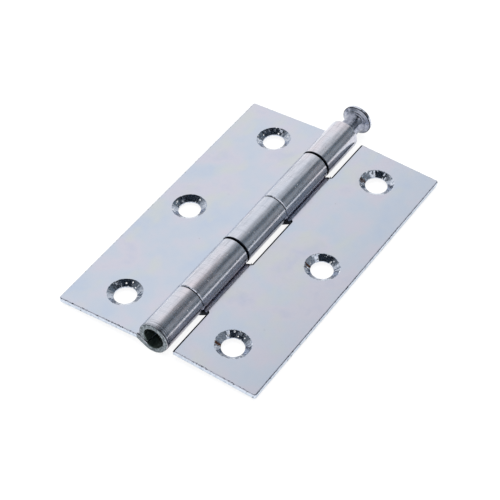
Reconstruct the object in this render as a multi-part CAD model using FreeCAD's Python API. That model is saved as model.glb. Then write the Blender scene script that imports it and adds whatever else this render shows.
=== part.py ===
import FreeCAD, Part
import math
import os

# Loose pin butt hinge, lying open on a table.
#
# Two leaves of sheet steel are sheared, countersunk and rolled into five knuckles round
# a headed pin that lifts out.  The pin runs along +Y with its head at the far end, Z is
# up and the table is Z = 0.  The origin is on the table under the pin, midway along the
# whole hinge.  The three-knuckle leaf lies on the -X side.  Sizes are in millimetres.

# Sheet and fit
sheet_thickness = 1.3
pin_diameter = 4.5
pin_clearance = 0.08  # radial, pin to rolled bore

# Leaf outline
leaf_length = 75.0  # along the pin
leaf_width = 25.0  # pin axis to outer edge
leaf_stagger = 0.4  # how much nearer the pin head the two-knuckle leaf was sheared
leaf_droop = 2.83  # degrees that each leaf hangs below level
corner_radius = 0.5
arris_radius = 0.2  # rolled-over edge left by the shear

# Knuckles
pin_rise = 1.1  # pin axis above the countersunk face
paired_knuckle = 16.9  # two-knuckle leaf's, middle of one joint to middle of the next
middle_knuckle = 15.4  # three-knuckle leaf's middle one, joint to joint
joint_shift = 0.15  # how much nearer the pin head the joints are than the leaf's middle
knuckle_gap = 0.3
notch_clearance = 0.9  # barrel to the other leaf's notched edge
bend_radius = 0.3  # underside of the bend where a strap slopes down from the flat
curl_stretch = 0.85  # straight run on the curl's back, which leaves it oval
stretch_turn = 40.0  # degrees below level, seen from the pin, where that run starts
seam_gap = 0.05  # curl's tip to the strap it closes on

# Screw holes
hole_diameter = 5.1
countersink_diameter = 7.9
hole_land = 0.3  # straight wall left under the countersink
end_hole_inset = 8.6  # leaf end to hole centre
end_hole_setback = 11.2  # leaf's outer edge to hole centre
middle_hole_setback = 7.6

# Pin
pin_lift = 3.9  # how far the pin stands out of its seat
tip_recess = 0.3  # how far a seated pin stops short of the near end
tip_chamfer = 0.5
flare_radius = 2.65  # hollow sweep from the shaft out to the head
head_diameter = 7.3
rim_chamfer = 0.15
rim_thickness = 0.75
dome_height = 1.4

# Sizes that follow
pin_radius = pin_diameter / 2
bore_radius = pin_radius + pin_clearance
barrel_radius = bore_radius + sheet_thickness
notch_edge = barrel_radius + notch_clearance
face_level = -pin_rise
underside_level = face_level - sheet_thickness
head_radius = head_diameter / 2
flare_turn = math.acos(1 - (head_radius - rim_chamfer - pin_radius) / flare_radius)
flare_start = leaf_length + pin_lift - math.sqrt(2 * flare_radius * pin_clearance - pin_clearance ** 2)
flare_end = flare_start + flare_radius * math.sin(flare_turn)
overall_length = flare_end + rim_thickness + dome_height
near_end = -overall_length / 2
curl_depth = barrel_radius + curl_stretch * math.cos(math.radians(stretch_turn - leaf_droop))
axis_height = max(head_radius, curl_depth)


def section_point(radius, angle, centre=(0.0, 0.0)):
    """Point of the X-Z section at a radius and angle about a centre."""
    return FreeCAD.Vector(
        centre[0] + radius * math.cos(angle), 0.0, centre[1] + radius * math.sin(angle)
    )


def section_arc(radius, start, end, centre=(0.0, 0.0)):
    """Arc edge of the X-Z section from one angle to the other."""
    middle = (start + end) / 2
    return Part.Arc(
        section_point(radius, start, centre),
        section_point(radius, middle, centre),
        section_point(radius, end, centre),
    ).toShape()


def line(start, end):
    return Part.makeLine(start, end)


def curl_section():
    """Section of the sheet: bend off the flat, sloping strap, then the curl round the pin.

    The curl is two arcs of one radius joined by a short straight run.  The pin sits in the
    upper arc, and the lower one hangs a little below it.
    """
    middle_radius = bore_radius + sheet_thickness / 2
    bend_middle = bend_radius + sheet_thickness / 2
    bend_outer = bend_radius + sheet_thickness
    bend = (notch_edge, underside_level - bend_radius)
    turn = math.radians(stretch_turn)
    low = (curl_stretch * math.sin(turn), -curl_stretch * math.cos(turn))

    # the strap is the line that leaves the bend on one side and meets the curl on the other
    run, fall = bend[0] - low[0], bend[1] - low[1]
    spread = math.acos((middle_radius + bend_middle) / math.hypot(run, fall))
    meet = math.atan2(fall, run) - spread
    level = math.pi / 2
    slope_end = meet + math.pi

    # the tip's outer corner stops a seam short of the strap's upper face
    drop = low[0] * math.cos(meet) + low[1] * math.sin(meet)
    tip = meet + math.acos((bore_radius + drop - seam_gap) / barrel_radius)
    back = math.pi + turn
    meet += 2 * math.pi
    edges = [
        section_arc(bend_outer, level, slope_end, bend),
        line(section_point(bend_outer, slope_end, bend), section_point(bore_radius, meet, low)),
        section_arc(bore_radius, meet, back, low),
        line(section_point(bore_radius, back, low), section_point(bore_radius, back)),
        section_arc(bore_radius, back, tip),
        line(section_point(bore_radius, tip), section_point(barrel_radius, tip)),
        section_arc(barrel_radius, tip, back),
        line(section_point(barrel_radius, back), section_point(barrel_radius, back, low)),
        section_arc(barrel_radius, back, meet, low),
        line(section_point(barrel_radius, meet, low), section_point(bend_radius, slope_end, bend)),
        section_arc(bend_radius, slope_end, level, bend),
        line(section_point(bend_radius, level, bend), section_point(bend_outer, level, bend)),
    ]
    return Part.Face(Part.Wire(edges))


def knuckle(start, end):
    """One rolled knuckle and its strap, between two distances from the barrel's near end."""
    strip = curl_section()
    strip.translate(FreeCAD.Vector(0, start, 0))
    return strip.extrude(FreeCAD.Vector(0, end - start, 0))


def plate(start):
    """Flat of the leaf outside the notched edge, with its two outer corners rounded."""
    blank = Part.makeBox(
        leaf_width - notch_edge,
        leaf_length,
        sheet_thickness,
        FreeCAD.Vector(notch_edge, start, underside_level),
    )
    corners = [
        edge
        for edge in blank.Edges
        if abs(edge.BoundBox.XMin - leaf_width) < 1e-6 and edge.BoundBox.ZLength > 1e-3
    ]
    corners = [edge for edge in corners if edge.BoundBox.YLength < 1e-6]
    return blank.makeFillet(corner_radius, corners)


def screw_hole(x, y):
    """Cutter for one hole: a cone from the face down to a short straight land."""
    hole_radius = hole_diameter / 2
    rim_radius = countersink_diameter / 2
    depth = sheet_thickness - hole_land
    slope = (rim_radius - hole_radius) / depth
    above = 0.5
    bottom = FreeCAD.Vector(x, y, underside_level - above)
    bore = Part.makeCylinder(hole_radius, sheet_thickness + above, bottom)
    cone = Part.makeCone(
        hole_radius,
        rim_radius + above * slope,
        depth + above,
        FreeCAD.Vector(x, y, underside_level + hole_land),
    )
    return bore.fuse(cone)


def screw_holes(start):
    """The three staggered screw holes of a leaf whose near end is at start."""
    end_x = leaf_width - end_hole_setback
    middle_x = leaf_width - middle_hole_setback
    return [
        screw_hole(end_x, start + end_hole_inset),
        screw_hole(middle_x, start + leaf_length / 2),
        screw_hole(end_x, start + leaf_length - end_hole_inset),
    ]


def sheared_arrises(body, start):
    """Edges of the two faces along the leaf's outer edge, its ends and the barrel's ends.

    The straps and curls of the end knuckles run on smoothly from these edges, so a
    rounding that starts on them follows the sheet right round the pin.
    """
    ends = (start, start + leaf_length)
    picked = []
    for edge in body.Edges:
        box = edge.BoundBox
        on_face = abs(box.ZMin - face_level) < 1e-6 or abs(box.ZMin - underside_level) < 1e-6
        if not on_face or box.ZLength > 1e-6:
            continue
        on_end = any(abs(box.YMin - y) < 1e-6 and box.YLength < 1e-6 for y in ends)
        on_outer = box.XMax > leaf_width - corner_radius + 1e-6
        if on_outer or (on_end and box.XMin > 0):
            picked.append(edge)
    return picked


def leaf(spans, start):
    """A leaf on the +X side of the pin, open flat, with a knuckle on each span."""
    body = plate(start)
    for span in spans:
        body = body.fuse(knuckle(*span))
    body = body.removeSplitter()
    for hole in screw_holes(start):
        body = body.cut(hole)
    return body.makeFillet(arris_radius, sheared_arrises(body, start))


def joints():
    """The four joints between knuckles, from the barrel's near end to its far end."""
    middle = leaf_length / 2 + joint_shift
    inner = middle_knuckle / 2
    outer = inner + paired_knuckle
    return [middle - outer, middle - inner, middle + inner, middle + outer]


def three_knuckle_spans():
    half_gap = knuckle_gap / 2
    first, second, third, fourth = joints()
    return [(0.0, first - half_gap), (second + half_gap, third - half_gap), (fourth + half_gap, leaf_length)]


def two_knuckle_spans():
    half_gap = knuckle_gap / 2
    first, second, third, fourth = joints()
    return [(first + half_gap, second - half_gap), (third + half_gap, fourth - half_gap)]


def three_knuckle_leaf():
    """Leaf that makes both ends and the middle of the barrel."""
    body = leaf(three_knuckle_spans(), 0.0)
    return body.mirror(FreeCAD.Vector(0, 0, 0), FreeCAD.Vector(1, 0, 0))


def two_knuckle_leaf():
    """Leaf whose knuckles fill the two spaces left in the barrel."""
    return leaf(two_knuckle_spans(), leaf_stagger)


def loose_pin():
    """Pin turned from bar: chamfered tip, shaft, hollow flare, rim and shallow dome."""
    tip = tip_recess + pin_lift
    rim = flare_end + rim_chamfer
    dome = flare_end + rim_thickness
    flare_centre = (pin_radius + flare_radius, flare_start)
    flare = [
        FreeCAD.Vector(
            flare_centre[0] - flare_radius * math.cos(turn),
            flare_centre[1] + flare_radius * math.sin(turn),
            0,
        )
        for turn in (0.0, flare_turn / 2, flare_turn)
    ]
    shaft = [(0.0, tip), (pin_radius - tip_chamfer, tip), (pin_radius, tip + tip_chamfer)]
    shaft = [FreeCAD.Vector(radius, y, 0) for radius, y in shaft] + [flare[0]]
    sphere_radius = (head_radius ** 2 + dome_height ** 2) / (2 * dome_height)
    half_angle = math.asin(head_radius / sphere_radius) / 2
    centre_y = dome + dome_height - sphere_radius
    shoulder = FreeCAD.Vector(
        sphere_radius * math.sin(half_angle), centre_y + sphere_radius * math.cos(half_angle), 0
    )
    crown = FreeCAD.Vector(0, dome + dome_height, 0)
    edge = [FreeCAD.Vector(head_radius, rim, 0), FreeCAD.Vector(head_radius, dome, 0)]
    outline = [line(a, b) for a, b in zip(shaft, shaft[1:])]
    outline.append(Part.Arc(*flare).toShape())
    outline.append(line(flare[-1], edge[0]))
    outline.append(line(*edge))
    outline.append(Part.Arc(edge[1], shoulder, crown).toShape())
    outline.append(line(crown, shaft[0]))
    section = Part.Face(Part.Wire(outline))
    return section.revolve(FreeCAD.Vector(0, 0, 0), FreeCAD.Vector(0, 1, 0), 360)


def place(shape, droop):
    """Tilt a piece about the pin and lower it from the pin's axis onto the table."""
    shape.rotate(FreeCAD.Vector(0, 0, 0), FreeCAD.Vector(0, 1, 0), droop)
    shape.translate(FreeCAD.Vector(0, near_end, axis_height))
    return shape


def main():
    pieces = {
        "three_knuckle_leaf": place(three_knuckle_leaf(), -leaf_droop),
        "two_knuckle_leaf": place(two_knuckle_leaf(), leaf_droop),
        "loose_pin": place(loose_pin(), 0.0),
    }
    os.makedirs("parts", exist_ok=True)
    for name, shape in pieces.items():
        shape.exportStep(f"parts/{name}.step")
        box = shape.BoundBox
        print(name, len(shape.Solids), shape.isValid(), round(shape.Volume, 2),
              [round(v, 3) for v in (box.XMin, box.XMax, box.YMin, box.YMax, box.ZMin, box.ZMax)])


main()
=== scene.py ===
import math

import bmesh
import bpy
from mathutils import Matrix, Vector


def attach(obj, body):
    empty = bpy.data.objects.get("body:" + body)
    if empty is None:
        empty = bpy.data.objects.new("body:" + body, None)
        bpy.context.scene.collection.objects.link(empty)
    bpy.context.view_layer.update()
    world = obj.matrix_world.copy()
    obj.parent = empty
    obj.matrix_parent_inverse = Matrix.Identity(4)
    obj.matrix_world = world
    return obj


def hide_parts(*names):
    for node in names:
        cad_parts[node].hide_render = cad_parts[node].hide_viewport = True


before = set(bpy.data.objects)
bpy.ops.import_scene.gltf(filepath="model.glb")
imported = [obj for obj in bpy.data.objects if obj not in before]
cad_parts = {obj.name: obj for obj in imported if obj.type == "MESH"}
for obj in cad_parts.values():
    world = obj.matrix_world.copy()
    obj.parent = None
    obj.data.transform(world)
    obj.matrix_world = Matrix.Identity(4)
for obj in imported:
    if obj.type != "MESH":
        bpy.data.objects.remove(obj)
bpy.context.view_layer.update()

# Loose pin butt hinge lying open: two bright zinc plated leaves and a duller headed pin.
# Lengths are in millimetres, and angles in degrees unless a note says radians.
# Each piece is made round the pin's own axis, which is Y.

mm = 0.001
pinHeight = 4.3073     # pin axis above the table
nearEnd = -41.3269     # near end of the barrel
touching = 0.02        # points nearer than this count as one


def hexLinear(code):
    parts = [int(code[i:i + 2], 16) / 255 for i in (0, 2, 4)]
    return [c / 12.92 if c <= 0.04045 else ((c + 0.055) / 1.055) ** 2.4 for c in parts] + [1.0]


# inputs go by number or name, each a constant or another node's output; a ramp's stops are (place, hex colour)
def addNode(tree, kind, inputs=(), output=0, stops=(), **settings):
    node = tree.nodes.new("ShaderNode" + kind)
    for name, value in settings.items():
        setattr(node, name, value)
    for name, source in inputs.items() if isinstance(inputs, dict) else enumerate(inputs):
        if hasattr(source, "is_output"):
            tree.links.new(source, node.inputs[name])
        else:
            node.inputs[name].default_value = source
    if stops:
        points = node.color_ramp.elements
        while len(points) < len(stops):
            points.new(0.5)
        for point, (spot, color) in zip(points, stops):
            point.position = spot
            point.color = hexLinear(color)
    return node.outputs[output]


def selectOnly(piece):
    bpy.ops.object.select_all(action="DESELECT")
    piece.select_set(True)
    bpy.context.view_layer.objects.active = piece


def startPiece(name):
    piece = bpy.context.object
    piece.name = name
    piece.data.name = name
    selectOnly(piece)
    bpy.ops.object.transform_apply(location=True, rotation=True, scale=True)
    return piece


# selects the parts of the edited mesh that pass the test
def pick(piece, kind, test):
    kinds = ("VERT", "EDGE", "FACE")
    bpy.context.tool_settings.mesh_select_mode = [kind == k for k in kinds]
    bpy.ops.mesh.select_all(action="DESELECT")
    mesh = bmesh.from_edit_mesh(piece.data)
    for part in (mesh.verts, mesh.edges, mesh.faces)[kinds.index(kind)]:
        if test(part):
            part.select_set(True)
    mesh.select_flush_mode()
    bmesh.update_edit_mesh(piece.data)


def middle(edge):
    return (edge.verts[0].co + edge.verts[1].co) / 2 / mm


def applyModifier(piece, kind, **settings):
    modifier = piece.modifiers.new(kind.lower(), kind)
    for key, value in settings.items():
        setattr(modifier, key, value)
    selectOnly(piece)
    bpy.ops.object.modifier_apply(modifier=modifier.name)


# camera, fitted to the leaf corners, screw holes and barrel
cameraFit = {
    "azimuth": 34.109, "elevation": 45.823, "roll": -0.624,
    "distance": 377.265, "slideRight": 0.882, "slideUp": 4.307,
    "centre": (0.0, nearEnd + 37.5, pinHeight),
    "focalPixels": 1730.03, "framePixels": 500, "sensorWidth": 36,
    "clipStart": 10.0,
}


def placeCamera(fit):
    azimuth, elevation, roll = (math.radians(fit[k]) for k in ("azimuth", "elevation", "roll"))
    back = Vector((math.sin(azimuth) * math.cos(elevation),
                   -math.cos(azimuth) * math.cos(elevation),
                   math.sin(elevation)))
    side = Vector((math.cos(azimuth), math.sin(azimuth), 0))
    up = back.cross(side)
    right = math.cos(roll) * side + math.sin(roll) * up
    top = math.cos(roll) * up - math.sin(roll) * side
    spot = Vector(fit["centre"]) - fit["slideRight"] * right - fit["slideUp"] * top + fit["distance"] * back
    bpy.ops.object.camera_add()
    camera = bpy.context.object
    camera.matrix_world = Matrix.Translation(spot * mm) @ Matrix((right, top, back)).transposed().to_4x4()
    camera.data.sensor_width = fit["sensorWidth"]
    camera.data.lens = fit["focalPixels"] / fit["framePixels"] * fit["sensorWidth"]
    camera.data.clip_start = fit["clipStart"] * mm
    bpy.context.scene.camera = camera


placeCamera(cameraFit)
print("camera placed")


# Finishes: noises are (size, detail, roughness, stretch), specks are (cell, share of cells, radius), colors are a
# ramp along a pattern, tints are (pattern, (from, to, share), colour), bumps are (pattern, depth, strength).
# Streaks, pits, burrs and nicks are drawn two or three times as coarse as real ones, which are too fine to show.

# cold rolled strip in bright zinc plate: nearly a mirror, clouded in faint blue, pink and yellow patches
faceFinish = {
    "name": "bright zinc plated sheet", "metallic": 1.0,
    "roughBand": ("cloud", 0.3, 0.7, 0.15, 0.2),
    "noises": {"cloud": (8, 3, 0.5, (1, 1, 1)),
               "tint": (5.5, 2, 0.5, (1, 0.7, 1)),
               "grain": (0.5, 3, 0.6, (1, 1, 1))},
    "specks": {"dust": (2.4, 0.12, 0.14)},
    "colors": ("cloud", ((0.3, "c1ccde"), (0.45, "c7cfdd"), (0.6, "cfcfdc"), (0.75, "c6cadc"))),
    "tints": (("tint", (0.52, 0.72, 0.7), "ced3d3"),
              ("dust", (0, 1, 0.6), "8d8f98")),
    "bumps": (("grain", 0.002, 1.0),),
}

# strap rolled into a knuckle, then barrel plated: streaks along it, faint hoop lines, scuffs and pale pits
barrelFinish = {
    "name": "zinc plated rolled knuckle", "metallic": 1.0,
    "roughBand": ("hoops", 0.35, 0.65, 0.15, 0.24), "dullSpots": ("pits", 0.8),
    "noises": {"cloud": (5, 3, 0.5, (1, 0.35, 1)),
               "hoops": (3, 4, 0.7, (0.3, 9, 0.3)),
               "streaks": (0.6, 3, 0.6, (1, 0.12, 1)),
               "lines": (1.6, 3, 0.65, (0.25, 9, 0.25)),
               "scuffs": (1.1, 2, 0.5, (0.12, 5, 0.12)),
               "clusters": (7, 1, 0.5, (1, 1, 1))},
    "specks": {"pits": (0.9, 0.55, 0.15)},
    "clusterBand": (0.5, 0.58),      # pits lie where their clusters are above this
    "scuffReach": (0.5, 2.2),        # the near end was dressed: scuffs fade out from here to there, inside it
    "colors": ("cloud", ((0.3, "ccd2df"), (0.5, "d6d8e2"), (0.7, "dfd8df"))),
    "tints": (("lines", (0.5, 0.7, 0.38), "8f97a4"),
              ("streaks", (0.5, 0.75, 0.5), "989fac"),
              ("scuffs", (0, 1, 1), "4a5058"),
              ("pits", (0, 1, 1), "ffffff")),
    "scuffBand": (0.5, 0.56),
    "bumps": (("hoops", 0.012, 0.6), ("streaks", 0.01, 0.6), ("pits", 0.03, 0.8)),
}

# countersunk before plating: the tool left flats that each catch another light, and small bright burrs
sinkFinish = {
    "name": "zinc plated countersink", "metallic": 1.0, "roughness": 0.1,
    "noises": {"grain": (0.35, 3, 0.5, (1, 1, 1))},
    "specks": {"burrs": (0.65, 0.45, 0.24)},
    "burrFacet": 0.45, "burrTurn": 1.3,
    "colors": ("grain", ((0.35, "a0aabb"), (0.65, "dce2ee"))),
    "tints": (("burrs", (0, 1, 1), "ffffff"),),
    "bumps": (("grain", 0.01, 0.6),),
}

# guillotined edge, half cut and half torn, then plated: pale blue with dark tears
shearedFinish = {
    "name": "zinc plated sheared edge", "metallic": 1.0, "roughness": 0.28,
    "noises": {"tears": (0.8, 4, 0.7, (1.2, 1.2, 0.4)),
               "nicks": (0.55, 2, 0.5, (1, 1, 0.3))},
    "colors": ("tears", ((0.3, "b4c0d0"), (0.55, "dbe3ef"))),
    "tints": (("nicks", (0.66, 0.72, 0.8), "3c434e"),),
    "bumps": (("tears", 0.06, 0.7),),
}

# torn end of the outer knuckles, thinly plated: rough dull grey green
endFinish = {
    "name": "zinc plated knuckle end", "metallic": 1.0, "roughness": 0.38,
    "noises": {"tears": (0.6, 4, 0.7, (1, 1, 1))},
    "colors": ("tears", ((0.35, "444c52"), (0.55, "8b949a"), (0.7, "b4bcc0"))),
    "bumps": (("tears", 0.12, 0.9),),
}

# inside of the curl, where the zinc hardly reached: dark greenish steel
boreFinish = {
    "name": "bare steel knuckle bore", "metallic": 0.7, "roughness": 0.32,
    "noises": {"film": (1.5, 3, 0.5, (1, 0.4, 1))},
    "colors": ("film", ((0.35, "3f4d4b"), (0.7, "65716e"))),
    "bumps": (("film", 0.02, 0.4),),
}

# top arris drawn over by the blanking die, then plated: a thin bright line with dark nicks
arrisFinish = {
    "name": "zinc plated rolled arris", "metallic": 1.0, "roughness": 0.12,
    "noises": {"nicks": (0.45, 3, 0.6, (1, 1, 1))},
    "colors": ("nicks", ((0.55, "ccd0de"), (0.6, "5a5d66"))),
    "bumps": (("nicks", 0.08, 0.6),),
}

# painted shade: knuckle ends inside the joints, the die roll along the notches and the front chamfer of the pin's
# rim are coloured nearly black, as lines round the barrel and dark edges
jointFinish = {
    "name": "oiled knuckle end in its joint", "metallic": 1.0, "roughness": 0.3,
    "noises": {"shadeNoise": (0.7, 3, 0.5, (1, 1, 1))},
    "colors": ("shadeNoise", ((0.35, "10131c"), (0.7, "2c313c"))),
    "bumps": (("shadeNoise", 0.05, 0.5),),
}

# headed and turned from wire, plated with the leaves but duller: turning marks run round it
pinFinish = {
    "name": "zinc plated turned pin", "metallic": 1.0, "roughness": 0.15,
    "noises": {"cloud": (1.2, 3, 0.5, (1, 1, 1)),
               "turns": (1.1, 3, 0.7, (0.5, 5, 0.5)),
               "dents": (0.7, 2, 0.5, (1, 1, 1))},
    "colors": ("cloud", ((0.35, "868a9a"), (0.65, "b0b4c2"))),
    "bumps": (("turns", 0.05, 0.7), ("dents", 0.02, 0.5)),
}


# scuffs kept to the near end, and pits to their clusters
def wearBarrel(tree, place, patterns, finish):
    full, gone = ((nearEnd + inside) * mm for inside in finish["scuffReach"])
    along = addNode(tree, "SeparateXYZ", [place], output="Y")
    dressed = addNode(tree, "MapRange", (along, full, gone, 1, 0))
    scuffs = addNode(tree, "MapRange", (patterns["scuffs"], *finish["scuffBand"]))
    patterns["scuffs"] = addNode(tree, "Math", (dressed, scuffs), operation="MULTIPLY")
    clusters = addNode(tree, "MapRange", (patterns["clusters"], *finish["clusterBand"]))
    patterns["pits"] = addNode(tree, "Math", (patterns["pits"], clusters), operation="MULTIPLY")


# each burr is turned its own way
def turnBurrs(tree, place, patterns, finish):
    ways = addNode(tree, "TexVoronoi", {"Vector": place, "Scale": 1 / (finish["burrFacet"] * mm)}, output="Color")
    ways = addNode(tree, "VectorMath", (ways, (0.5, 0.5, 0.5)), operation="SUBTRACT")
    reach = addNode(tree, "Math", (patterns["burrs"], finish["burrTurn"]), operation="MULTIPLY")
    ways = addNode(tree, "VectorMath", {0: ways, "Scale": reach}, operation="SCALE")
    flat = addNode(tree, "NewGeometry", output="Normal")
    turned = addNode(tree, "VectorMath", (flat, ways), operation="ADD")
    turned = addNode(tree, "VectorMath", [turned], operation="NORMALIZE")
    tree.links.new(turned, tree.nodes["Principled BSDF"].inputs["Normal"])


# addWear changes the patterns, or the surface that the bumps lie on
def makeFinish(finish, addWear=None):
    material = bpy.data.materials.new(finish["name"])
    material.use_nodes = True
    tree = material.node_tree
    shader = tree.nodes["Principled BSDF"].inputs
    shader["Metallic"].default_value = finish["metallic"]
    place = addNode(tree, "TexCoord", output="Object")
    patterns = {}
    for name, (size, detail, rough, stretch) in finish["noises"].items():
        mapped = addNode(tree, "Mapping", {"Vector": place, "Scale": stretch})
        patterns[name] = addNode(tree, "TexNoise", {"Vector": mapped, "Scale": 1 / (size * mm),
                                                    "Detail": detail, "Roughness": rough})
    # round specks, one in each cell that the share lets through
    for name, (size, share, radius) in finish.get("specks", {}).items():
        cells = addNode(tree, "TexVoronoi", {"Vector": place, "Scale": 1 / (size * mm)})
        near = addNode(tree, "MapRange", (cells, radius / size, radius / size / 2))
        chance = addNode(tree, "SeparateColor", [cells.node.outputs["Color"]])
        lucky = addNode(tree, "Math", (chance, share), operation="LESS_THAN")
        patterns[name] = addNode(tree, "Math", (near, lucky), operation="MULTIPLY")
    if addWear:
        addWear(tree, place, patterns, finish)

    pattern, stops = finish["colors"]
    color = addNode(tree, "ValToRGB", [patterns[pattern]], stops=stops)
    for pattern, (start, full, share), tint in finish.get("tints", ()):
        cover = addNode(tree, "MapRange", (patterns[pattern], start, full, 0, share))
        color = addNode(tree, "Mix", {0: cover, 6: color, 7: hexLinear(tint)}, output=2, data_type="RGBA")
    tree.links.new(color, shader["Base Color"])

    if "roughBand" in finish:
        pattern, *band = finish["roughBand"]
        rough = addNode(tree, "MapRange", (patterns[pattern], *band))
        if "dullSpots" in finish:
            pattern, dull = finish["dullSpots"]
            rough = addNode(tree, "Mix", {0: patterns[pattern], 2: rough, 3: dull})
        tree.links.new(rough, shader["Roughness"])
    else:
        shader["Roughness"].default_value = finish["roughness"]

    for pattern, depth, strength in finish["bumps"]:
        relief = {"Height": patterns[pattern], "Distance": depth * mm, "Strength": strength}
        if shader["Normal"].is_linked:
            relief["Normal"] = shader["Normal"].links[0].from_socket
        tree.links.new(addNode(tree, "Bump", relief), shader["Normal"])
    return material


leafFinishes = {
    "face": makeFinish(faceFinish),
    "barrel": makeFinish(barrelFinish, wearBarrel),
    "sink": makeFinish(sinkFinish, turnBurrs),
    "sheared": makeFinish(shearedFinish),
    "end": makeFinish(endFinish),
    "bore": makeFinish(boreFinish),
    "arris": makeFinish(arrisFinish),
    "joint": makeFinish(jointFinish),
}
leafSlots = {name: index for index, name in enumerate(leafFinishes)}
pinZinc = makeFinish(pinFinish)
print("materials made")


# leaves
leafShape = {
    "sheet": 1.3,
    "length": 75.0,
    "outerEdge": 24.99,         # from the pin axis
    "notchEdge": 4.53,
    "faceDrop": 1.1,            # countersunk face below the pin axis
    "bore": 2.33,
    "bendRadius": 0.3,          # underside of the bend where a strap slopes down
    "stretch": 0.85,            # straight run on the curl's back
    "stretchTurn": 40.0,        # below level where it starts
    "seam": 0.05,               # curl's tip to its strap
    "bendSteps": 6,
    "curlStep": 4.0,
    "cornerRound": 0.5,
    "edgeRound": 0.26,
    "endRound": 0.18,
    "notchRound": 0.5,          # die roll along the notches
    "tipReach": 1.2,            # inner edge of the curl's tip, drawn out towards its strap
    "droop": 2.83,              # outer edge towards the table
    "holes": ((13.8, 8.6), (17.4, 37.5), (13.8, 66.4)),
    "holeDiameter": 5.1,
    "sinkDiameter": 7.9,
    "sinkSteps": 64,
    "land": 0.3,
    "chatter": 0.05,            # depth of the flats left by the countersinking tool
    "chatterLevels": (0.45, 0.8),
    "chatterTurns": (1.1, 0.4),     # radians by which the flats turn from hole to hole, and from leaf to leaf
    "rimRound": 0.07,
    "smoothTurn": 30,
    "jointSpan": (0.4, 74.6),   # knuckle ends between these lie in joints
}
sharpTurn = 1.0                 # radians, least turn of a sharp edge

# knuckle spans from the barrel's near end: joints 1 and 3 are closed tighter than joints 2 and 4
threeSpans = ((0.0, 12.93), (30.16, 45.24), (62.46, 75.0))
twoSpans = ((13.13, 29.74), (45.44, 62.05))
twoShift = 0.4                  # the two-knuckle leaf's ends stand this much nearer the pin's head


def curlPath(shape):
    # middle of the sheet from the flat to the curl's tip: centres (x, z) and turns in radians
    half = shape["sheet"] / 2
    roll, bend = shape["bore"] + half, shape["bendRadius"] + half
    turn = math.radians(shape["stretchTurn"])
    bendCentre = Vector((shape["notchEdge"], -shape["faceDrop"] - shape["sheet"] - shape["bendRadius"]))
    low = Vector((math.sin(turn), -math.cos(turn))) * shape["stretch"]
    run = bendCentre - low
    meet = math.atan2(run.y, run.x) - math.acos((roll + bend) / run.length)
    ray = Vector((math.cos(meet), math.sin(meet)))
    tip = meet + math.acos((shape["bore"] + low.dot(ray) - shape["seam"]) / (roll + half))
    return {"bend": bendCentre, "low": low, "slope": meet + math.pi / 2,
            "strap": (low + roll * ray) - (bendCentre - bend * ray),
            "lowTurn": meet + math.pi - turn, "highTurn": math.pi + turn - tip, "tip": tip}


# edge that runs along the notches' line
def alongNotch(edge, shape):
    return (abs(abs(middle(edge).x) - shape["notchEdge"]) < touching
            and abs(edge.verts[0].co.x - edge.verts[1].co.x) < touching * mm)


def makeBlank(name, side, spans, low, shape):
    # flat sheet, parted at the ends of its knuckles
    width, length = shape["outerEdge"] - shape["notchEdge"], shape["length"]
    bpy.ops.object.select_all(action="DESELECT")
    bpy.ops.mesh.primitive_plane_add(size=mm, location=(side * (shape["notchEdge"] + width / 2) * mm,
                                                       (low + length / 2) * mm,
                                                       (-shape["faceDrop"] - shape["sheet"] / 2) * mm))
    bpy.context.object.scale = (width, length, 1)
    leaf = startPiece(name)
    bpy.ops.object.mode_set(mode="EDIT")
    for y in sorted({nearEnd + y for span in spans for y in span}):
        if low + touching < y < low + length - touching:
            bpy.ops.mesh.select_all(action="SELECT")
            bpy.ops.mesh.bisect(plane_co=(0, y * mm, 0), plane_no=(0, 1, 0))
    pick(leaf, "VERT", lambda v: abs(v.co.x) > (shape["outerEdge"] - touching) * mm
         and not low + touching < v.co.y / mm < low + length - touching)
    bpy.ops.mesh.bevel(offset=shape["cornerRound"] * mm, segments=4, affect="VERTICES")
    return leaf


def rollStraps(leaf, side, spans, path, shape):
    # each strap bends down from the flat, slopes under the pin and curls round it
    def roll(centre, turn, steps):
        bpy.ops.mesh.spin(steps=steps, angle=turn, axis=(0, 1, 0),
                          center=(side * centre[0] * mm, 0, centre[1] * mm))

    def run(step):
        bpy.ops.mesh.extrude_region_move(
            TRANSFORM_OT_translate={"value": (side * step[0] * mm, 0, step[1] * mm)})

    steps = [round(math.degrees(path[k]) / shape["curlStep"]) for k in ("lowTurn", "highTurn")]
    pick(leaf, "EDGE", lambda e: alongNotch(e, shape) and any(a < middle(e).y - nearEnd < b for a, b in spans))
    roll(path["bend"], side * path["slope"], shape["bendSteps"])
    run(path["strap"])
    roll(path["low"], -side * path["lowTurn"], steps[0])
    run(-path["low"])
    roll((0, 0), -side * path["highTurn"], steps[1])
    bpy.ops.mesh.select_all(action="SELECT")
    bpy.ops.mesh.remove_doubles(threshold=touching / 20 * mm)
    bpy.ops.mesh.normals_make_consistent(inside=False)
    bpy.ops.object.mode_set(mode="OBJECT")
    applyModifier(leaf, "SOLIDIFY", thickness=shape["sheet"] * mm, offset=0, use_even_offset=True)

    # the tip's inner edge is drawn out, so that the seam closes over the strap
    across, down = math.cos(path["tip"]), math.sin(path["tip"])

    def onTip(vert):
        x, z = side * vert.co.x / mm, vert.co.z / mm
        return max(abs(x - shape["bore"] * across), abs(z - shape["bore"] * down)) < 3 * touching

    bpy.ops.object.mode_set(mode="EDIT")
    pick(leaf, "VERT", onTip)
    reach = shape["tipReach"] * mm
    bpy.ops.transform.translate(value=(side * down * reach, 0, -across * reach))


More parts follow.
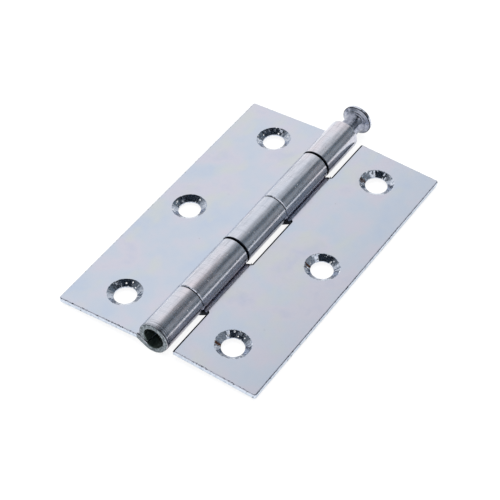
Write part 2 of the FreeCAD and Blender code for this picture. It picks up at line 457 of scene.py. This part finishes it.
def roundEdges(leaf, low, shape):
    # sheared edges: rounder on the leaf than at the knuckle ends, and rolled over along the notches
    def onNotch(edge):
        onTop = middle(edge).z > -shape["faceDrop"] - touching
        return alongNotch(edge, shape) and onTop and edge.calc_face_angle(0) > sharpTurn

    def onOutline(edge):
        m = middle(edge)
        atEnd = min(abs(m.y - low), abs(m.y - low - shape["length"])) < touching
        return atEnd or abs(m.x) > shape["outerEdge"] - shape["cornerRound"] - touching

    pick(leaf, "EDGE", onNotch)
    bpy.ops.mesh.bevel(offset=shape["notchRound"] * mm, segments=4, affect="EDGES", clamp_overlap=True)
    pick(leaf, "EDGE", lambda e: e.calc_face_angle(0) > sharpTurn and not onOutline(e))
    bpy.ops.mesh.bevel(offset=shape["endRound"] * mm, segments=1, affect="EDGES")
    pick(leaf, "EDGE", lambda e: e.calc_face_angle(0) > sharpTurn and onOutline(e))
    bpy.ops.mesh.bevel(offset=shape["edgeRound"] * mm, segments=3, affect="EDGES")
    bpy.ops.object.mode_set(mode="OBJECT")


def sinkCutter(shape, seed):
    # runs past the face and the underside, so that it cuts them cleanly
    above, below = 1, 2
    wide, narrow = shape["sinkDiameter"] / 2, shape["holeDiameter"] / 2
    top = -shape["faceDrop"]
    land = top - shape["sheet"] + shape["land"]
    slope = (wide - narrow) / (top - land)
    bpy.ops.object.select_all(action="DESELECT")
    bpy.ops.mesh.primitive_cone_add(vertices=shape["sinkSteps"], radius1=narrow * mm, radius2=(wide + slope) * mm,
                                    depth=(top + above - land) * mm, location=(0, 0, (top + above + land) / 2 * mm))
    cutter = startPiece("cutter")
    bpy.ops.object.mode_set(mode="EDIT")
    for level in shape["chatterLevels"]:
        bpy.ops.mesh.select_all(action="SELECT")
        bpy.ops.mesh.bisect(plane_co=(0, 0, (land + (top - land) * level) * mm), plane_no=(0, 0, 1))
    pick(cutter, "VERT", lambda v: v.co.z > (land + 5 * touching) * mm)
    bpy.ops.transform.vertex_random(offset=shape["chatter"] * mm, seed=seed)
    pick(cutter, "FACE", lambda f: f.normal.z < -0.9)
    bpy.ops.mesh.extrude_region_move(TRANSFORM_OT_translate={"value": (0, 0, -below * mm)})
    bpy.ops.object.mode_set(mode="OBJECT")
    return cutter


def sinkHoles(leaf, side, centres, shape):
    cutters = []
    perHole, perLeaf = shape["chatterTurns"]
    for turn, (x, y) in enumerate(centres):
        cutter = sinkCutter(shape, turn + 4 * (side + 2))      # each hole has its own seed
        cutter.rotation_euler = (0, 0, turn * perHole + side * perLeaf)
        cutter.location = (x * mm, y * mm, 0)
        cutters.append(cutter)
    bpy.ops.object.select_all(action="DESELECT")
    for cutter in cutters:
        cutter.select_set(True)
    bpy.context.view_layer.objects.active = cutters[0]
    bpy.ops.object.transform_apply(location=True, rotation=True, scale=True)
    bpy.ops.object.join()
    applyModifier(leaf, "BOOLEAN", operation="DIFFERENCE", solver="EXACT", object=cutters[0])
    bpy.data.objects.remove(cutters[0])

    # the countersink's rim on the face, or the hole's on the underside
    def onRim(edge):
        tops = [f.normal.z for f in edge.link_faces]
        if len(tops) != 2 or fromHole(middle(edge), centres) > shape["sinkDiameter"] / 2 + 0.3:
            return False
        onFace = max(tops) > 0.99 and min(tops) < 0.95
        underneath = min(tops) < -0.99 and max(tops) > -0.5
        return onFace or underneath

    bpy.ops.object.mode_set(mode="EDIT")
    pick(leaf, "EDGE", onRim)
    bpy.ops.mesh.bevel(offset=shape["rimRound"] * mm, segments=1, affect="EDGES", clamp_overlap=True)
    bpy.ops.object.mode_set(mode="OBJECT")


def fromHole(point, centres):
    return min(math.hypot(point.x - x, point.y - y) for x, y in centres)


# how faces are told apart, by the share of their normal along Z or Y and by place
faceTest = {
    "flat": 0.97, "flatRoll": 0.999, "flatRim": 0.99,     # along Z: the leaf's face, the die roll, a hole's rim
    "top": 0.2,                                           # a sheared edge's top arris
    "end": 0.85, "endArris": 0.5,                         # along Y: knuckle ends and their arris
    "holeSpare": 0.05, "notchSpare": 0.05, "boreSpare": 0.12,
}


# name of the finish at a place in millimetres, with its normal
def finishAt(point, normal, side, centres, path, shape, test):
    section = Vector((side * point.x, point.z))
    if fromHole(point, centres) < shape["sinkDiameter"] / 2 + test["holeSpare"] and abs(normal.z) < test["flatRim"]:
        return "sink"
    if section.x < shape["notchEdge"] - test["notchSpare"]:
        inJoint = shape["jointSpan"][0] < point.y - nearEnd < shape["jointSpan"][1]
        # knuckle ends inside the joints get painted shade
        if abs(normal.y) > test["end"]:
            return "joint" if inJoint else "end"
        # joints 2 and 4 stand wider, and painted shade goes over the arris on one side too
        if inJoint and abs(normal.y) > test["endArris"]:
            return "joint" if side * normal.y > 0 else "arris"
        fromAxis = min(section.length, (section - path["low"]).length)
        return "bore" if fromAxis < shape["bore"] + test["boreSpare"] else "barrel"
    # painted shade: the die roll along the notches is coloured nearly black, a dark line beside the slot
    if section.x < shape["notchEdge"] + shape["notchRound"] and test["top"] < normal.z < test["flatRoll"]:
        return "joint"
    if abs(normal.z) < test["flat"]:
        return "arris" if normal.z > test["top"] else "sheared"
    return "face"


def dressLeaf(leaf, side, centres, path, shape):
    for material in leafFinishes.values():
        leaf.data.materials.append(material)
    bpy.context.view_layer.update()
    for face in leaf.data.polygons:
        finish = finishAt(face.center / mm, face.normal, side, centres, path, shape, faceTest)
        face.material_index = leafSlots[finish]
        face.use_smooth = finish != "sink" or abs(face.normal.z) < 0.1
    selectOnly(leaf)
    bpy.ops.object.shade_smooth_by_angle(angle=math.radians(shape["smoothTurn"]), keep_sharp_edges=True)
    for face in leaf.data.polygons:
        if face.material_index == leafSlots["sink"]:
            face.use_smooth = False
    applyModifier(leaf, "WEIGHTED_NORMAL", keep_sharp=True, weight=50)


# side is -1 for the leaf on -X and 1 for the one on +X
def makeLeaf(name, side, spans, shift, shape):
    low = nearEnd + shift
    path = curlPath(shape)
    centres = [(side * x, low + y) for x, y in shape["holes"]]
    leaf = makeBlank(name, side, spans, low, shape)
    rollStraps(leaf, side, spans, path, shape)
    roundEdges(leaf, low, shape)
    sinkHoles(leaf, side, centres, shape)
    dressLeaf(leaf, side, centres, path, shape)
    # laid down: drooping to the table, at the pin's height
    leaf.rotation_euler = (0, side * math.radians(shape["droop"]), 0)
    leaf.location = (0, 0, pinHeight * mm)
    selectOnly(leaf)
    bpy.ops.object.transform_apply(location=True, rotation=True, scale=True)
    return leaf


threeLeaf = makeLeaf("threeKnuckleLeaf", -1, threeSpans, 0.0, leafShape)
twoLeaf = makeLeaf("twoKnuckleLeaf", 1, twoSpans, twoShift, leafShape)
for piece, node in ((threeLeaf, "three_knuckle_leaf"), (twoLeaf, "two_knuckle_leaf")):
    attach(piece, node)
    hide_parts(node)
print("leaves made")


# the pin, turned from its tip to its domed head: places along it are from the barrel's near end
pinShape = {
    "steps": 96,
    "tip": ((4.2, 1.75), (4.7, 2.25)),          # (place, radius)
    "flareStart": 78.2538, "flareRadius": 2.65, "flareTo": 3.5, "flareSteps": 14,
    "rings": (79.62, 80.17), "ringDepth": 0.2, "ringHalf": 0.2, "ringFloor": 0.3, "ringSpare": 1.2,
    "rimRadius": 3.65, "rimChamfer": 0.15, "rim": 0.75, "crownRound": (0.06, 0.03),
    "dome": 1.4, "domeSteps": 12, "domeInset": 0.7,
    "smoothTurn": 32,
}


# (place, radius) pairs from the tip to the dome's shoulder, then the places of the crown and the flare's end
def pinProfile(shape):
    shaft, start, radius = shape["tip"][-1][1], shape["flareStart"], shape["flareRadius"]
    turn = math.acos(1 - (shape["flareTo"] - shaft) / radius)
    flareEnd = start + radius * math.sin(turn)

    def flareAt(y):
        return shaft + radius * (1 - math.cos(math.asin((y - start) / radius)))

    flare = []
    for k in range(shape["flareSteps"]):
        y = start + radius * math.sin(turn * k / shape["flareSteps"])
        if min(abs(y - ring) for ring in shape["rings"]) > shape["ringHalf"] * shape["ringSpare"]:
            flare.append((y, flareAt(y)))
    floor = shape["ringFloor"]
    for ring in shape["rings"]:
        for across, depth in ((-1, 0), (-floor, 1), (floor, 1), (1, 0)):
            y = ring + across * shape["ringHalf"]
            flare.append((y, flareAt(y) - depth * shape["ringDepth"]))
    flare.sort()
    crown, rim = flareEnd + shape["rim"], shape["rimRadius"]
    ball = (rim ** 2 + shape["dome"] ** 2) / (2 * shape["dome"])
    half = math.asin(rim / ball)
    dome = []
    for k in range(shape["domeSteps"] - 1, 0, -1):
        tilt = half * k / shape["domeSteps"]
        dome.append((crown + shape["dome"] - ball * (1 - math.cos(tilt)), ball * math.sin(tilt)))
    back, inset = shape["crownRound"]
    edge = [(flareEnd, shape["flareTo"]), (flareEnd + shape["rimChamfer"], rim),
            (crown - back, rim), (crown, rim - inset)]
    return list(shape["tip"]) + flare + edge + dome, crown + shape["dome"], flareEnd


def makePin(name, shape):
    profile, crown, flareEnd = pinProfile(shape)
    startY, startR = profile[0]
    lastY, lastR = profile[-1]
    bpy.ops.object.select_all(action="DESELECT")
    bpy.ops.mesh.primitive_circle_add(vertices=shape["steps"], radius=startR * mm, fill_type="NGON",
                                      location=(0, (nearEnd + startY) * mm, 0), rotation=(math.pi / 2, 0, 0))
    pin = startPiece(name)
    bpy.ops.object.mode_set(mode="EDIT")
    bpy.ops.mesh.select_all(action="SELECT")
    for (y0, r0), (y1, r1) in zip(profile, profile[1:]):
        bpy.ops.mesh.extrude_region_move(TRANSFORM_OT_translate={"value": (0, (y1 - y0) * mm, 0)})
        bpy.ops.transform.resize(value=(r1 / r0, 1, r1 / r0), center_override=(0, (nearEnd + y1) * mm, 0))
    bpy.ops.mesh.inset(thickness=lastR * shape["domeInset"] * mm)
    bpy.ops.transform.translate(value=(0, (crown - lastY) * mm, 0))
    bpy.ops.mesh.select_all(action="SELECT")
    bpy.ops.mesh.normals_make_consistent(inside=False)
    bpy.ops.object.mode_set(mode="OBJECT")
    # painted shade on the front chamfer of the head's rim, and the rim is nicked
    for material in (pinZinc, leafFinishes["joint"], leafFinishes["arris"]):
        pin.data.materials.append(material)
    for face in pin.data.polygons:
        past = face.center.y / mm - nearEnd - flareEnd
        if 0 < past < shape["rim"]:
            face.material_index = 1 if past < shape["rimChamfer"] else 2
    selectOnly(pin)
    bpy.ops.object.shade_smooth_by_angle(angle=math.radians(shape["smoothTurn"]))
    pin.location = (0, 0, pinHeight * mm)
    bpy.ops.object.transform_apply(location=True, rotation=True, scale=True)
    return pin


loosePin = makePin("headedPin", pinShape)
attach(loosePin, "loose_pin")
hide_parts("loose_pin")
print("pin made")


# Studio: a white table under a dome of dark gauze. Its patches are (towards, degrees full, degrees gone, share):
# clear ones let the white surroundings through, cloths and a card hide them, and bare lamps stand before the cloths.
studio = {
    "tableSize": 4000.0,
    "seenShade": 0.2, "shade": 0.72,        # table's share that takes shadows: seen straight, and in the metal
    "seenGlow": 0.88, "glow": 0.28,
    "domeRadius": 900.0,
    "gauze": "546a78", "cloth": "3a424c", "card": "6a4630",
    "sideClear": 0.11, "frontClear": 0.35, "sideToFront": (0.15, -0.25),
    "clearPatches": {
        "light": ((-0.66, 0.577, 0.48), 24, 60, 1.0),
        "horizon": ((-0.1, 0.97, 0.2), 10, 32, 0.85),
        "window": ((0.70, 0.577, 0.42), 6, 20, 0.3),
        "overhead": ((-0.15, 0.15, 0.98), 14, 26, 0.8),
        "sideWall": ((0.8, 0.1, 0.6), 22, 32, 0.24),
    },
    "clothPatches": {
        "overCamera": ((0.27, -0.36, 0.89), 15, 28, 1.0),
        "leftOfCamera": ((-0.25, -0.5, 0.83), 16, 28, 1.0),
        "farLeft": ((-0.62, -0.42, 0.68), 12, 24, 0.6),
        "right": ((0.43, 0.06, 0.90), 10, 15, 0.9),
        "farRight": ((0.49, 0.34, 0.80), 5, 10, 0.8),
        "beyond": ((-0.02, 0.39, 0.92), 6, 14, 0.45),
    },
    "cardPatches": {"beyond": ((0.41, 0.84, 0.35), 6, 10, 1.0)},
    "barePatches": {
        "sideLamp": ((0.62, -0.08, 0.78), 10, 13, 1.0),
        "frontLamp": ((-0.39, -0.72, 0.58), 9, 14, 1.0),
        "pinLamp": ((-0.42, -0.12, 0.90), 12, 17, 1.0),
        "farLight": ((0.10, 0.73, 0.68), 6, 15, 0.75),
        "frontWall": ((0.15, -0.93, 0.33), 24, 34, 0.9),
    },
    "lampHeight": 600.0, "lampSize": 700.0, "lampPower": 3.0,
}


def makeTable(setup):
    bpy.ops.object.select_all(action="DESELECT")
    bpy.ops.mesh.primitive_plane_add(size=setup["tableSize"] * mm, location=(0, 0, 0))
    table = startPiece("whiteTable")
    material = bpy.data.materials.new("white table top")
    material.use_nodes = True
    tree = material.node_tree
    tree.nodes.remove(tree.nodes["Principled BSDF"])
    camera = addNode(tree, "LightPath", output="Is Camera Ray")
    rays = camera.node.outputs
    metal = addNode(tree, "Math", (rays["Is Glossy Ray"], rays["Is Transmission Ray"]), operation="MAXIMUM")
    shade = addNode(tree, "MapRange", (camera, 0, 1, setup["shade"], setup["seenShade"]))
    matte = addNode(tree, "BsdfDiffuse", [shade])
    seen = addNode(tree, "Math", (camera, setup["seenGlow"]), operation="MULTIPLY")
    glow = addNode(tree, "Math", (metal, setup["glow"], seen), operation="MULTIPLY_ADD")
    glow = addNode(tree, "Emission", {"Color": (1, 1, 1, 1), "Strength": glow})
    both = addNode(tree, "AddShader", (matte, glow))
    tree.links.new(both, tree.nodes["Material Output"].inputs["Surface"])
    table.data.materials.append(material)


# strength of the strongest patch in each direction
def addPatches(tree, way, patches):
    strongest = 0.0
    for towards, full, gone, share in patches.values():
        facing = addNode(tree, "VectorMath", (way, Vector(towards).normalized()), output="Value",
                         operation="DOT_PRODUCT")
        patch = addNode(tree, "MapRange", (facing, math.cos(math.radians(gone)),
                                           math.cos(math.radians(full)), 0, share))
        strongest = addNode(tree, "Math", (strongest, patch), operation="MAXIMUM")
    return strongest


def makeDome(setup):
    bpy.ops.object.select_all(action="DESELECT")
    bpy.ops.mesh.primitive_uv_sphere_add(segments=96, ring_count=64, radius=setup["domeRadius"] * mm)
    dome = startPiece("gauzeDome")
    bpy.ops.object.mode_set(mode="EDIT")
    pick(dome, "FACE", lambda f: f.calc_center_median().z < 0)
    bpy.ops.mesh.delete(type="FACE")
    bpy.ops.object.mode_set(mode="OBJECT")
    material = bpy.data.materials.new("dark gauze")
    material.use_nodes = True
    tree = material.node_tree
    tree.nodes.remove(tree.nodes["Principled BSDF"])
    place = addNode(tree, "TexCoord", output="Object")
    way = addNode(tree, "VectorMath", [place], operation="NORMALIZE")
    front = addNode(tree, "SeparateXYZ", [way], output="Y")
    clear = addNode(tree, "MapRange", (front, *setup["sideToFront"], setup["sideClear"], setup["frontClear"]))
    patches = addPatches(tree, way, setup["clearPatches"])
    clear = addNode(tree, "Math", (clear, patches), operation="MAXIMUM")
    cloth = addPatches(tree, way, setup["clothPatches"])
    card = addPatches(tree, way, setup["cardPatches"])
    color = hexLinear(setup["gauze"])
    for cover, tint in ((cloth, setup["cloth"]), (card, setup["card"])):
        left = addNode(tree, "Math", (1.0, cover), operation="SUBTRACT")
        clear = addNode(tree, "Math", (clear, left), operation="MULTIPLY")
        color = addNode(tree, "Mix", {0: cover, 6: color, 7: hexLinear(tint)}, output=2, data_type="RGBA")
    bare = addPatches(tree, way, setup["barePatches"])
    clear = addNode(tree, "Math", (clear, bare), operation="MAXIMUM")
    weave = addNode(tree, "BsdfDiffuse", [color])
    gaps = addNode(tree, "BsdfTransparent")
    gauze = addNode(tree, "MixShader", (clear, weave, gaps))
    tree.links.new(gauze, tree.nodes["Material Output"].inputs["Surface"])
    dome.data.materials.append(material)
    dome.visible_camera = False


def makeLamp(setup):
    # soft overhead fill for the table, kept out of the metal's reflections
    bpy.ops.object.light_add(type="AREA", location=(0, 0, setup["lampHeight"] * mm))
    lamp = bpy.context.object
    lamp.name = "overheadFill"
    lamp.data.shape = "DISK"
    lamp.data.size = setup["lampSize"] * mm
    lamp.data.energy = setup["lampPower"]
    lamp.visible_glossy = False
    lamp.visible_camera = False


def makeWorld():
    world = bpy.data.worlds.new("white surroundings")
    bpy.context.scene.world = world
    world.use_nodes = True
    background = world.node_tree.nodes["Background"].inputs
    background["Color"].default_value = (1, 1, 1, 1)
    background["Strength"].default_value = 1.0
    bpy.context.scene.view_settings.view_transform = "Standard"


makeTable(studio)
makeDome(studio)
makeLamp(studio)
makeWorld()
print("studio set")
